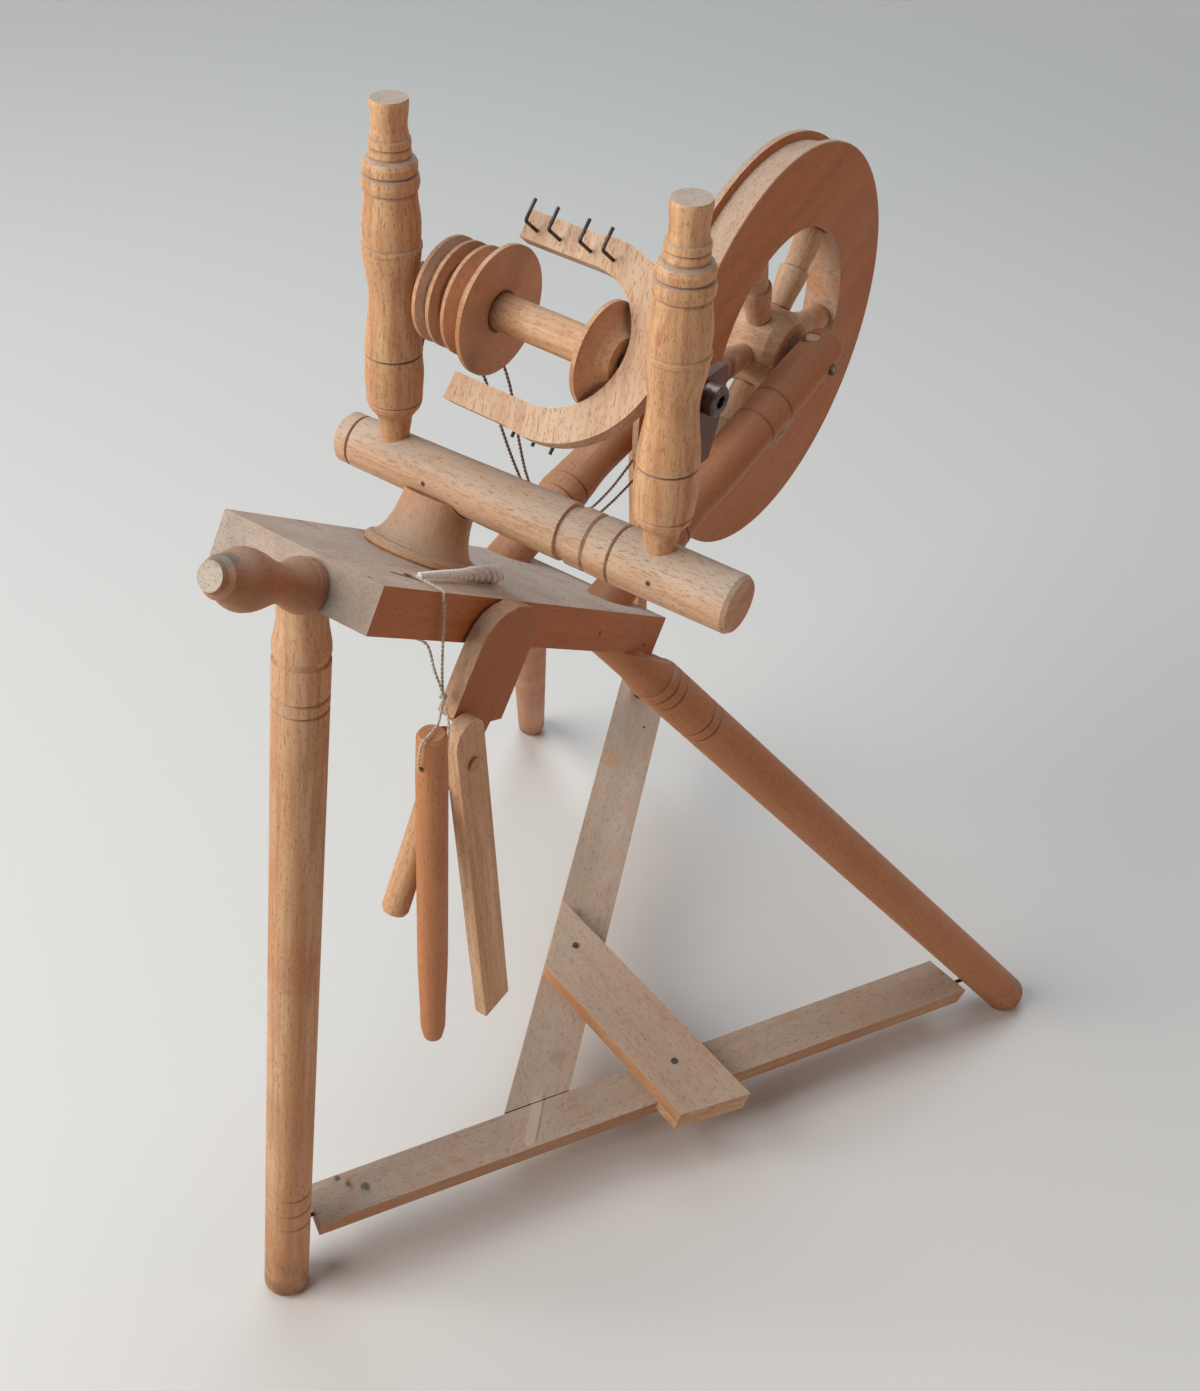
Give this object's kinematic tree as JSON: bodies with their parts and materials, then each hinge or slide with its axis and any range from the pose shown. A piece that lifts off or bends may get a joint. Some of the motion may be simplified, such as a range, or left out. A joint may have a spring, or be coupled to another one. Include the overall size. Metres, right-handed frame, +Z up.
{
  "type": "spinning wheel",
  "caption": "Small turned-wood treadle spinning wheel with sloping table, bobbin and flyer between two uprights, spoked wheel, and a folded distaff arm hanging at the front.",
  "frame": {"origin": "on the floor, under the middle of the object's bounding box", "axes": "+X along the table from the tension knob to the wheel, +Y from the front to the back, +Z up"},
  "size_m": [0.3796, 0.2895, 0.4226],
  "materials": {
    "beech": "worn, matt",
    "beech_pale": "worn, matt",
    "beech_dark": "worn, matt",
    "beech_grey": "bare, grey with wear",
    "leather": "dull",
    "steel": "dull",
    "dark_wire": "dark wire",
    "brown_cord": "thin twisted cord",
    "pale_string": "thin twisted string",
    "white_cotton": "loose twisted cotton"
  },
  "bodies": {
    "stand": {"table": "beech", "leg_left": "beech", "leg_right": "beech", "leg_back": "beech", "collar": "beech", "carrier_beam": "beech", "maiden_far": "beech", "maiden_near": "beech", "bearing_far": "leather", "bearing_near": "leather", "post_near": "beech", "post_far": "beech", "post_plugs": "beech_pale", "arm_pivot": "beech_pale", "drive_band": "brown_cord", "band_turns": "brown_cord", "hanging_string": "pale_string", "string_tuft": "white_cotton"},
    "wheel": {"wheel_ring": "beech", "wheel_spokes": "beech_pale", "wheel_hub": "beech_pale", "axle_crank": "steel"},
    "flyer_unit": {"flyer": "beech_pale", "flyer_spindle": "steel", "flyer_hooks": "dark_wire", "flyer_whorl": "beech_dark"},
    "bobbin": {"bobbin": "beech_dark"},
    "knob": {"tension_knob": "beech"},
    "treadle": {"treadle_bar": "beech_grey", "treadle_board": "beech_grey", "treadle_brace": "beech_pale", "brace_batten": "beech_pale", "treadle_nails": "dark_wire", "treadle_pins": "steel"},
    "footman": {"footman": "beech"},
    "distaff": {"distaff_arm": "beech_dark", "stub_rod": "beech_pale", "bar_pin": "dark_wire"},
    "distaff_bar": {"distaff_bar": "beech_pale"},
    "loose_rod": {"loose_rod": "beech"}
  },
  "joints": [
    {"name": "wheel_spin", "type": "hinge", "parent": "stand", "child": "wheel", "pos_m": [0.11272, 0.02202, 0.2769], "axis": [0, 1, 0], "continuous": true},
    {"name": "flyer_spin", "type": "hinge", "parent": "stand", "child": "flyer_unit", "pos_m": [-0.07369, 0.02202, 0.36973], "axis": [0.0244, 0.9994, 0.0227], "continuous": true},
    {"name": "bobbin_spin", "type": "hinge", "parent": "flyer_unit", "child": "bobbin", "pos_m": [-0.07369, 0.02202, 0.36973], "axis": [0.0244, 0.9994, 0.0227], "continuous": true},
    {"name": "knob_turn", "type": "hinge", "parent": "stand", "child": "knob", "pos_m": [-0.15553, 0.00822, 0.32469], "axis": [-0.8348, 0, 0.5505], "continuous": true},
    {"name": "treadle_rock", "type": "hinge", "parent": "stand", "child": "treadle", "pos_m": [-0.16348, 0.02152, 0.0294], "axis": [0.8811, -0.4723, -0.0233], "range_deg": [-5.2, 6.4]},
    {"name": "footman_swing", "type": "hinge", "parent": "treadle", "child": "footman", "pos_m": [0.13238, 0.07017, 0.0627], "axis": [0.8811, -0.4723, -0.0233], "range_deg": [-12, 12]},
    {"name": "distaff_swing", "type": "hinge", "parent": "stand", "child": "distaff", "pos_m": [-0.10348, -0.01568, 0.291], "axis": [0, -1, 0], "range_deg": [-7, 35]},
    {"name": "bar_swing", "type": "hinge", "parent": "distaff", "child": "distaff_bar", "pos_m": [-0.12818, -0.02168, 0.2625], "axis": [0, -1, 0], "range_deg": [-6, 40]},
    {"name": "rod_swing", "type": "hinge", "parent": "stand", "child": "loose_rod", "pos_m": [-0.14848, -0.02758, 0.279], "axis": [0, -1, 0], "range_deg": [-10, 6]}
  ],
  "couplings": [
    {"joint": "flyer_spin", "follows": "wheel_spin", "ratio": 6.212},
    {"joint": "footman_swing", "follows": "treadle_rock", "ratio": -1.184}
  ]
}
